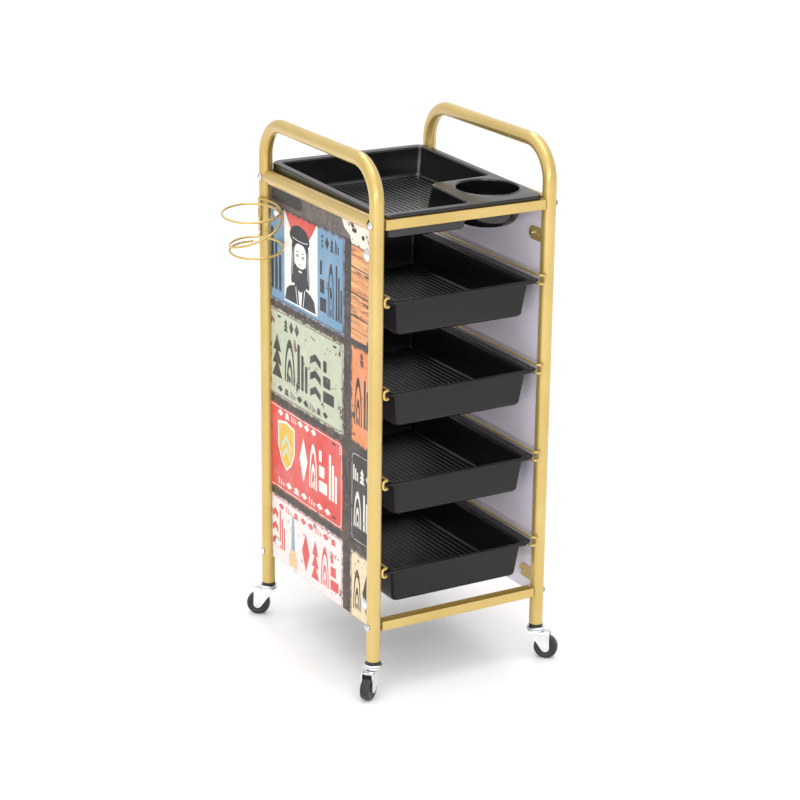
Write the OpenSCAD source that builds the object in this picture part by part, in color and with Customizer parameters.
// Rolling salon trolley: two bent-tube side frames, four cross rails, two side panels,
// a fixed-place top tray with a bowl recess, four sliding trays, a coiled dryer holder
// and four swivel casters. Millimetres, +Z up, origin on the floor at the frame's centre,
// front (the side the trays pull out of) faces -Y.

/* [Frame] */
// distance between the two side frames, tube axis to tube axis
frame_w = 310; // [290:1:330]
// distance between front and rear legs, tube axis to tube axis
frame_d = 368; // [348:1:388]
// outside diameter of the bent tube
tube_d = 23; // [22:0.5:25]
// wall of the bent tube
tube_wall = 1.5; // [1:0.1:2]
// height of the cut lower end of the legs above the floor
leg_z0 = 61; // [60:0.5:64]
// height of the axis of the hoop's top run
hoop_z = 868; // [850:1:890]
// bend radius of the hoop, to the tube axis
hoop_r = 60; // [50:1:70]
// height of the upper cross rails and side rails
rail_top_z = 776.4; // [770:0.1:780]
// height of the lower cross rails
rail_low_z = 119.6; // [115:0.1:125]

/* [Rails] */
// height of a folded cross rail
rail_h = 16; // [14:0.5:18]
// depth of a folded cross rail
rail_dp = 18; // [14:0.5:20]
// sheet thickness of a cross rail
rail_t = 1.5; // [1:0.1:2]

/* [Panels] */
// thickness of a side panel
panel_t = 3.5; // [3:0.1:4]
// height of the panel's lower edge
panel_z0 = 112; // [108:1:118]
// height of the panel's upper edge
panel_z1 = 764; // [755:0.5:764]
// distance of the panel screws from the centre plane
screw_y = 150.5; // [145:0.5:155]

/* [Sliding trays] */
// height of the lowest sliding tray's rim
tray_z = 211; // [205:1:215]
// height step between sliding trays
tray_step = 148; // [144:1:150]
// depth of a sliding tray from rim to underside
tray_h = 60.5; // [50:0.5:61]
// wall thickness of the plastic trays
tray_t = 2.2; // [2:0.1:2.6]
// wire diameter of the runners
wire_d = 4; // [3.5:0.1:4]

/* [Top tray] */
// height of the top tray's floor
top_floor = 750; // [745:1:755]
// radius of the bowl recess
cup_r = 50; // [44:0.5:51]
// slope of the top tray's rim towards the rear, degrees
rim_tilt = 1.35; // [0:0.05:2]

/* [Dryer holder] */
// radius of the upper ring, to the wire axis
ring_r = 47.6; // [44:0.1:48]
// height of the middle of the upper ring's first turn
coil_z = 735; // [731:0.5:739]
// wire diameter of the holder
holder_d = 4.4; // [4:0.1:4.6]

/* [Casters] */
// wheel radius
wheel_r = 20; // [19:0.5:20]
// distance of the wheel axle from the swivel axis
trail = 18; // [16:0.5:19]
// wheel width
wheel_w = 15; // [14:0.5:15]

/* [Hidden] */
$fn = 48;

gold = "#dfc486"; black = "#2b2b2d"; chrome = "#d8dde2"; print = "#b9b0a4";
hw = frame_w / 2;               // leg axis, half distance in X
hd = frame_d / 2;               // leg axis, half distance in Y
tr = tube_d / 2;
rail_x = hw - tr - 0.3;         // cut end of a cross rail
px0 = hw - 5;                   // inner face of a side panel
px1 = px0 + panel_t;            // printed outer face of a side panel
scr_z = [145, 722];             // heights of the panel screws
wr = wire_d / 2;
wx = 136;                       // runner wire's distance from the centre plane
wy = hd + 10;                   // runner's end bend, distance from the centre plane
wgap = 14;                      // upper runner wire above the lower one
ring_c = [-206.5, 134];         // centre of the dryer holder's upper ring
swivel = [217, -42, 142, 62];   // rest directions of the four casters: FL FR RL RR
legs = [[-hw, -hd], [hw, -hd], [-hw, hd], [hw, hd]];

// ---------- helpers ----------
module bar(a, b, r) {           // round bar from a to b
  v = b - a; l = norm(v);
  translate(a) rotate([0, acos(v[2] / l), atan2(v[1], v[0])]) cylinder(r = r, h = l);
}
module dome(r, h) {             // mushroom head, flat side on z = 0
  rs = (r * r + h * h) / (2 * h);
  rotate_extrude() intersection() {
    translate([0, h - rs]) circle(r = rs, $fn = 96);
    square([r, h]);
  }
}
module rrect(x0, x1, y0, y1, r) {
  union() {
    translate([x0 + r, y0]) square([x1 - x0 - 2 * r, y1 - y0]);
    translate([x0, y0 + r]) square([x1 - x0, y1 - y0 - 2 * r]);
    for (x = [x0 + r, x1 - r], y = [y0 + r, y1 - r]) translate([x, y]) circle(r = r);
  }
}
module ring2(r, t) { difference() { circle(r = r); circle(r = r - t); } }

// ---------- side frames ----------
module hoop_tube() {            // inverted U in the YZ plane
  for (s = [-1, 1]) translate([0, s * hd, leg_z0])
    linear_extrude(hoop_z - hoop_r - leg_z0) ring2(tr, tube_wall);
  for (s = [0, 1]) mirror([0, s, 0]) translate([0, hd - hoop_r, hoop_z - hoop_r])
    rotate([90, 0, 90]) rotate_extrude(angle = 90) translate([hoop_r, 0]) ring2(tr, tube_wall);
  translate([0, hd - hoop_r, hoop_z]) rotate([90, 0, 0])
    linear_extrude(2 * (hd - hoop_r)) ring2(tr, tube_wall);
}
module hoop(side) {
  color(gold) difference() {
    translate([side * hw, 0, 0]) hoop_tube();
    for (y = [-hd, hd], z = [rail_low_z, rail_top_z])
      translate([side * hw - 20, y, z]) rotate([0, 90, 0]) cylinder(d = 5.4, h = 40);
    if (side < 0) for (z = holder_z())
      translate([-hw - 20, 181, z]) rotate([0, 90, 0]) cylinder(d = 3.06, h = 20);
  }
}
module side_rail(side) {
  color(gold) translate([side * hw, hd - tr - 0.15, rail_top_z]) rotate([90, 0, 0])
    linear_extrude(2 * (hd - tr - 0.15)) ring2(tr, tube_wall);
}

// ---------- cross rails ----------
module cross_rail(y, z) {       // channel open upward with a drilled plate at each end
  color(gold) translate([0, y, z]) difference() {
    union() {
      rotate([90, 0, 90]) translate([0, 0, -rail_x]) linear_extrude(2 * rail_x) difference() {
        translate([-rail_dp / 2, -rail_h / 2]) square([rail_dp, rail_h]);
        translate([-rail_dp / 2 + rail_t, -rail_h / 2 + rail_t])
          square([rail_dp - 2 * rail_t, rail_h]);
      }
      for (s = [-1, 1]) translate([s * (rail_x - 2) - 2, -rail_dp / 2 + 0.5, -rail_h / 2 + 0.5])
        cube([4, rail_dp - 1, rail_h - 0.5]);
    }
    translate([-200, 0, 0]) rotate([0, 90, 0]) cylinder(d = 5.06, h = 400);
  }
}
module rail_screws() {
  color(chrome) for (s = [0, 1]) mirror([s, 0, 0]) for (y = [-hd, hd], z = [rail_low_z, rail_top_z])
    translate([-hw - tr - 0.2, y, z]) {
      rotate([0, -90, 0]) dome(6.25, 3.4);
      rotate([0, 90, 0]) cylinder(d = 5, h = tube_d + 10);
    }
}

// ---------- side panels ----------
module panel(side) {
  color(print) difference() {
    translate([side > 0 ? px0 : -px1, 0, 0]) rotate([90, 0, 90])
      linear_extrude(panel_t) rrect(-hd + tr + 0.7, hd - tr - 0.7, panel_z0, panel_z1, 3);
    for (y = [-screw_y, screw_y], z = scr_z)
      translate([side * hw - 20, y, z]) rotate([0, 90, 0]) cylinder(d = 5.4, h = 40);
  }
}
module tabs(side) {             // flat lugs on the legs that the panel screws bite into
  color(gold) for (m = [0, 1], z = scr_z) mirror([0, m, 0])
    translate([side > 0 ? px0 - 2.1 : -px0 + 0.1, 0, z]) rotate([90, 0, 90]) difference() {
      union() {
        linear_extrude(2) difference() {
          union() {
            translate([screw_y, -11]) square([hd - 10.7 - screw_y, 22]);
            translate([screw_y, 0]) circle(r = 11);
          }
          translate([screw_y, 0]) circle(d = 5.06);
        }
        translate([hd - 18, 0, side > 0 ? 0 : 2]) rotate([side > 0 ? 180 : 0, 0, 0]) dome(3, 1);
      }
    }
}
module panel_screws(side) {
  color(chrome) mirror([side > 0 ? 1 : 0, 0, 0]) for (y = [-screw_y, screw_y], z = scr_z)
    translate([-px1 - 0.05, y, z]) {
      rotate([0, -90, 0]) difference() {
        dome(9.5, 3.6);
        for (a = [0, 90]) rotate(a) translate([-3, -0.5, 2.6]) cube([6, 1, 2]);
      }
      rotate([0, 90, 0]) cylinder(d = 5, h = panel_t + 7);
    }
}

// ---------- runners ----------
module quarter(r) { rotate_extrude(angle = 90) translate([r, 0]) circle(r = wr, $fn = 24); }
module runner_half() {          // upper half of one closed loop, rear end, right side
  zc = wgap / 2;
  bar([wx, 0, zc], [wx, wy - 5, zc], wr, $fn = 24);
  translate([wx + 5, wy - 5, zc]) mirror([1, 0, 0]) quarter(5);
  translate([wx + 5, wy, zc - 4.5]) rotate([90, 0, 0]) quarter(4.5);
  bar([wx + 9.5, wy, 0], [wx + 9.5, wy, zc - 4.5], wr, $fn = 24);
}
module runner(side, level) {    // two wires joined by bends that are welded to the legs
  zl = tray_z + (level - 1) * tray_step - 6.3 + wgap / 2;
  color(gold) translate([0, 0, zl]) mirror([side < 0 ? 1 : 0, 0, 0])
    for (a = [0, 1], b = [0, 1]) mirror([0, a, 0]) mirror([0, 0, b]) runner_half();
}

// ---------- sliding trays ----------
function draft(y0, y1, z0, z1, d, c) =   // drafted trough section with bevelled lower corners
  [[y0, z1], [y0 + d - c * 0.2, z0 + c], [y0 + d + c, z0], [y1 - d - c, z0],
   [y1 - d + c * 0.2, z0 + c], [y1, z1]];
module trough(x0, x1, y0, y1, z0, z1, d, c, r) {
  intersection() {
    rotate([90, 0, 0]) translate([0, 0, -y1 - 1]) linear_extrude(y1 - y0 + 2)
      polygon(draft(x0, x1, z0, z1, d, c));
    rotate([90, 0, 90]) translate([0, 0, x0 - 1]) linear_extrude(x1 - x0 + 2)
      polygon(draft(y0, y1, z0, z1, d, c));
    translate([0, 0, z0 - 1]) linear_extrude(z1 - z0 + 2) rrect(x0, x1, y0, y1, r);
  }
}
well_x = 122; well_y = [-185, 172];      // inside of the trough at its rim
rim_x = 129.5; rim_y = [-189.5, 178];    // outside of the raised rim
slide_x = 142; slide_y = [-181, 180];    // flange that slides between the runner wires
tray_draft = 7; tray_bevel = 5;
rib_step = 10; rib_w = 2; rib_z = 0.8;
module flange() {
  polygon([[-rim_x, rim_y[0]], [rim_x, rim_y[0]], [slide_x, slide_y[0]],
    [slide_x, slide_y[1] - 4], [slide_x - 4, slide_y[1]], [4 - slide_x, slide_y[1]],
    [-slide_x, slide_y[1] - 4], [-slide_x, slide_y[0]]]);
}
module tray_solid() {           // rim top at z = 0
  t = tray_t; h = tray_h; x = well_x; y0 = well_y[0]; y1 = well_y[1];
  difference() {
    union() {
      trough(-x, x, y0, y1, -h, -1.6, tray_draft, tray_bevel, 6);
      translate([0, 0, -4]) linear_extrude(2.6) flange();
      translate([0, 0, -1.6]) linear_extrude(1.6) difference() {
        rrect(-rim_x, rim_x, rim_y[0], rim_y[1], 10);
        rrect(-x - 0.5, x + 0.5, y0 - 0.5, y1 + 0.5, 6);
      }
      translate([0.5 - rim_x, rim_y[0] - 1, -5.5]) cube([2 * rim_x - 1, 2.4, 5.3]);
      for (s = [-1, 1]) translate([s * 132.5, -173, -1.5]) dome(2.2, 1.6);
    }
    trough(-x + t, x - t, y0 + t, y1 - t, -h + t, 0.01, tray_draft, tray_bevel, 5);
  }
  for (i = [-10 : 10]) translate([i * rib_step - rib_w / 2, y0 + 20, -h + t - 0.2])
    cube([rib_w, y1 - y0 - 39, rib_z + 0.2]);
}
module sliding_tray(level) {
  color(black) translate([0, 0, tray_z + (level - 1) * tray_step]) tray_solid();
}

// ---------- top tray ----------
cup_c = [88.5, -107.5];
cup_z = 755.5;                           // where the bowl's wall turns into its rounded foot
cup_foot = 20;                           // outer radius of that rounding
top_x = 146.5; top_y = [-187, 190];      // outside of the rolled rim and its skirt
room_x = 134.5; room_y = [-174.5, 175.5]; // outside of the main compartment at the rim
rim_z0 = 790.5;                          // rim height above the front legs
skirt_t = 2.5; rim_t = 3;
function plat(g) = [[14 - g, -190], [14 - g, -160 - g], [18 - g, -62],
  [25 - g * 0.7, -50 + g * 0.7], [38, -44 + g], [200, -41 + g], [200, -190]];
module rim_space(z, over) {     // everything above the sloping rim plane lowered by z
  translate([0, -hd, rim_z0 - z]) rotate([rim_tilt, 0, 0])
    translate([-200, -60, 0]) cube([400, 500, over]);
}
module room(g, z) {             // the compartment's form, drawn in by g, from height z up
  trough(g - room_x, room_x - g, room_y[0] + g, room_y[1] - g, z, 803, 6, 5, 12 - g);
}
module compartment(t) {         // wall and floor, with an inner wall round the platform
  difference() {
    room(0, top_floor - t);
    translate([0, 0, top_floor - 5]) linear_extrude(60) polygon(plat(0));
    room(t, top_floor);
  }
  intersection() {
    room(0, top_floor - t);
    translate([0, 0, top_floor - t]) linear_extrude(50) difference() {
      polygon(plat(t));
      polygon(plat(0));
    }
  }
}
module rim_outline() { rrect(-top_x, top_x, top_y[0], top_y[1], 20.5); }
module rim_and_platform() {
  intersection() {
    difference() { rim_space(rim_t, rim_t); rim_space(0, 9); }
    translate([0, 0, 780]) linear_extrude(40) difference() {
      rim_outline();
      difference() {
        rrect(2 - room_x, room_x - 2, room_y[0] + 2, room_y[1] - 2, 10);
        polygon(plat(0));
      }
    }
  }
  difference() {
    translate([0, 0, rail_top_z + rail_h / 2 + 0.3]) linear_extrude(20) difference() {
      rim_outline();
      rrect(skirt_t - top_x, top_x - skirt_t, top_y[0] + skirt_t, top_y[1] - skirt_t, 18);
    }
    rim_space(0.5, 40);
  }
}
module bowl(t) {
  foot_x = cup_r + t - cup_foot;
  translate([cup_c[0], cup_c[1], 0]) rotate_extrude($fn = 96) difference() {
    union() {
      translate([0, cup_z]) square([cup_r + t, 34]);
      translate([0, cup_z - cup_foot]) square([foot_x, cup_foot + 0.1]);
      translate([foot_x, cup_z]) circle(r = cup_foot);
    }
    translate([0, cup_z]) square([cup_r, 50]);
    translate([0, cup_z - cup_foot + t]) square([foot_x, cup_foot - 2]);
    translate([foot_x, cup_z]) circle(r = cup_foot - t);
  }
}
module floor_ribs(t) {
  intersection() {
    room(1, top_floor - 1);
    translate([0, 0, top_floor - 0.2]) linear_extrude(rib_z + 0.2) difference() {
      for (i = [-11 : 11]) translate([i * rib_step - rib_w / 2, -158]) square([rib_w, 314]);
      polygon(plat(t + 6));
    }
  }
}
module top_tray() {
  t = tray_t;
  color(black) difference() {
    union() {
      compartment(t);
      rim_and_platform();
      bowl(t);
      floor_ribs(t);
    }
    rim_space(0, 40);
    translate([cup_c[0], cup_c[1], cup_z + 0.5]) cylinder(r = cup_r, h = 50, $fn = 96);
  }
}

// ---------- dryer holder ----------
// The wire leaves the bracket, makes 1 1/4 turns, drops, and makes 1 1/4 smaller turns. Its angle,
// radius, centre and height are functions of the swept angle u; the rings lean towards the front.
drop_from = 380; drop_to = 646; coil_turn = 1064; coil_step = 14; coil_n = 12;
hr = holder_d / 2;
low_c = [-201, 128.2];          // centre of the lower ring
function blend(u) = let(t = max(0, min(1, (u - drop_from) / (drop_to - drop_from))))
  t * t * (3 - 2 * t);
function ca(u) = 53 - u;
function cr(u) = ring_r - 4.2 * blend(u) + (u < 70 ? 8.5 * pow(1 - u / 70, 2) : 0);
function lean(u) = 0.121 * cr(u) * cos(ca(u) - 59.8);
function cz(u) = coil_z + lean(u) - 6.5 * u / 360 * (1 - blend(u))
  - blend(u) * (58.1 + 7.4 * (u - drop_to) / 360);
function cc(u) = ring_c + (low_c - ring_c) * blend(u);
function cp(u) = [cc(u)[0] + cr(u) * cos(ca(u)), cc(u)[1] + cr(u) * sin(ca(u)), cz(u)];
function holder_z() = [coil_z - 4, coil_z - 50];
function unit(v) = v / norm(v);
function coil_ring(u) = let(o = [cos(ca(u)), sin(ca(u)), 0], n = cross(unit(cp(u + 1) - cp(u - 1)), o))
  [for (j = [0 : coil_n - 1]) cp(u) + hr * (cos(j * 360 / coil_n) * o + sin(j * 360 / coil_n) * n)];
module dryer_holder() {         // round wire swept along the coil
  m = coil_turn / coil_step;
  pts = [for (i = [0 : m]) each coil_ring(i * coil_step)];
  sides = [for (i = [0 : m - 1], j = [0 : coil_n - 1]) let(k = (j + 1) % coil_n)
    [i * coil_n + j, (i + 1) * coil_n + j, (i + 1) * coil_n + k, i * coil_n + k]];
  color(gold) polyhedron(pts, concat(sides, [[for (j = [0 : coil_n - 1]) j]],
    [[for (j = [coil_n - 1 : -1 : 0]) m * coil_n + j]]));
}
module holder_bracket() {
  color(gold) translate([-hw - tr - 3.2, 177, 0]) difference() {
    union() {
      translate([0, 0, coil_z - 28]) cube([2.4, 8, 36]);
      translate([0, 1.2, coil_z - 58]) cube([2.4, 5.6, 31]);
    }
    for (z = holder_z()) translate([-1, 4, z]) rotate([0, 90, 0]) cylinder(d = 3.3, h = 6);
    translate([-1, 2.5, coil_z - 24]) cube([6, 3, 14]);
  }
}
module holder_screws() {
  color(chrome) for (z = holder_z()) translate([-hw - tr - 3.25, 181, z]) {
    rotate([0, -90, 0]) dome(3, 1.6);
    rotate([0, 90, 0]) cylinder(d = 3, h = 8);
  }
}

// ---------- casters ----------
module leg_sockets() {          // plastic plugs pressed into the leg ends
  color(black) for (p = legs) translate([p[0], p[1], 0]) difference() {
    union() {
      translate([0, 0, leg_z0 - 5]) cylinder(r = tr, h = 4.9);
      translate([0, 0, leg_z0 - 1]) cylinder(r = tr - tube_wall - 0.05, h = 28);
    }
    translate([0, 0, 50]) cylinder(r = 4.03, h = 50);
  }
}
module caster_stems() {         // stem, upper bearing cup and rivet head, all steel
  color(chrome) for (p = legs) translate([p[0], p[1], 0]) rotate_extrude() polygon(
    [[0, 43.2], [6.2, 43.2], [6.2, 44.9], [4, 44.9], [4, 51.9], [13.6, 51.9], [15, 52.7],
     [15, 54.9], [13.4, 55.9], [4, 55.9], [4, 84], [3, 86], [0, 86]]);
}
tan_a = atan2(27.5, -28) + acos(7 / norm([28, 27.5]));  // where a cheek's edge leaves its round
module fork() {                 // trail along +X, swivel axis on Z
  h = wheel_r;
  color(chrome) {
    difference() {
      union() {
        translate([0, 0, 47.2]) rotate_extrude() polygon([[0, 0], [10.5, 0], [14.6, 1.3],
          [15, 2.2], [15, 3.6], [14.2, 4.4], [0, 4.4]]);
        for (s = [-1, 1]) translate([0, s * 9.4 + 0.9, 0]) rotate([90, 0, 0])
          linear_extrude(1.8) union() {
            translate([trail, h]) circle(r = 7);
            polygon([[-10, 47.4], [24.5, 47.4], [trail + 7, h], [trail, h],
              [trail + 7 * cos(tan_a), h + 7 * sin(tan_a)]]);
          }
        translate([-10, -10.3, 45.2]) cube([34.5, 20.6, 2.2]);
      }
      translate([0, 0, 40]) cylinder(r = 4.05, h = 20);
      translate([trail, 20, h]) rotate([90, 0, 0]) cylinder(d = 5.06, h = 40);
    }
  }
}
module axle() {
  color(chrome) translate([trail, 0, wheel_r]) rotate([90, 0, 0]) {
    translate([0, 0, -10.35]) cylinder(d = 5, h = 20.7);
    for (s = [0, 1]) mirror([0, 0, s]) translate([0, 0, 10.35]) dome(4.2, 1.6);
  }
}
module wheel() {
  w = wheel_w / 2;
  color(black) translate([trail, 0, wheel_r]) rotate([90, 0, 0]) difference() {
    rotate_extrude($fn = 96) polygon([[2.6, -w - 0.6], [6, -w - 0.6], [6, -w + 1], [13, -w + 1],
      [14, -w], [17.6, -w], [wheel_r - 0.6, -w + 1.3], [wheel_r, -w + 3], [wheel_r, w - 3],
      [wheel_r - 0.6, w - 1.3], [17.6, w], [14, w], [13, w - 1], [6, w - 1], [6, w + 0.6],
      [2.6, w + 0.6]]);
  }
}
module at(i) { translate([legs[i][0], legs[i][1], 0]) rotate(swivel[i]) children(); }

hoop(-1);  // left_hoop
hoop(1);  // right_hoop
side_rail(-1);  // left_side_rail
side_rail(1);  // right_side_rail
cross_rail(-hd, rail_top_z);  // front_top_rail
cross_rail(hd, rail_top_z);  // rear_top_rail
cross_rail(-hd, rail_low_z);  // front_bottom_rail
cross_rail(hd, rail_low_z);  // rear_bottom_rail
rail_screws();
panel(-1);  // left_panel
panel(1);  // right_panel
tabs(-1);  // left_tabs
tabs(1);  // right_tabs
panel_screws(-1);  // left_panel_screws
panel_screws(1);  // right_panel_screws
runner(-1, 1);  // runner_left_1
runner(-1, 2);  // runner_left_2
runner(-1, 3);  // runner_left_3
runner(-1, 4);  // runner_left_4
runner(1, 1);  // runner_right_1
runner(1, 2);  // runner_right_2
runner(1, 3);  // runner_right_3
runner(1, 4);  // runner_right_4
dryer_holder();
holder_bracket();
holder_screws();
leg_sockets();
caster_stems();
top_tray();
sliding_tray(1);  // tray_1
sliding_tray(2);  // tray_2
sliding_tray(3);  // tray_3
sliding_tray(4);  // tray_4
at(0) fork();  // fork_fl
at(1) fork();  // fork_fr
at(2) fork();  // fork_rl
at(3) fork();  // fork_rr
at(0) axle();  // axle_fl
at(1) axle();  // axle_fr
at(2) axle();  // axle_rl
at(3) axle();  // axle_rr
at(0) wheel();  // wheel_fl
at(1) wheel();  // wheel_fr
at(2) wheel();  // wheel_rl
at(3) wheel();  // wheel_rr
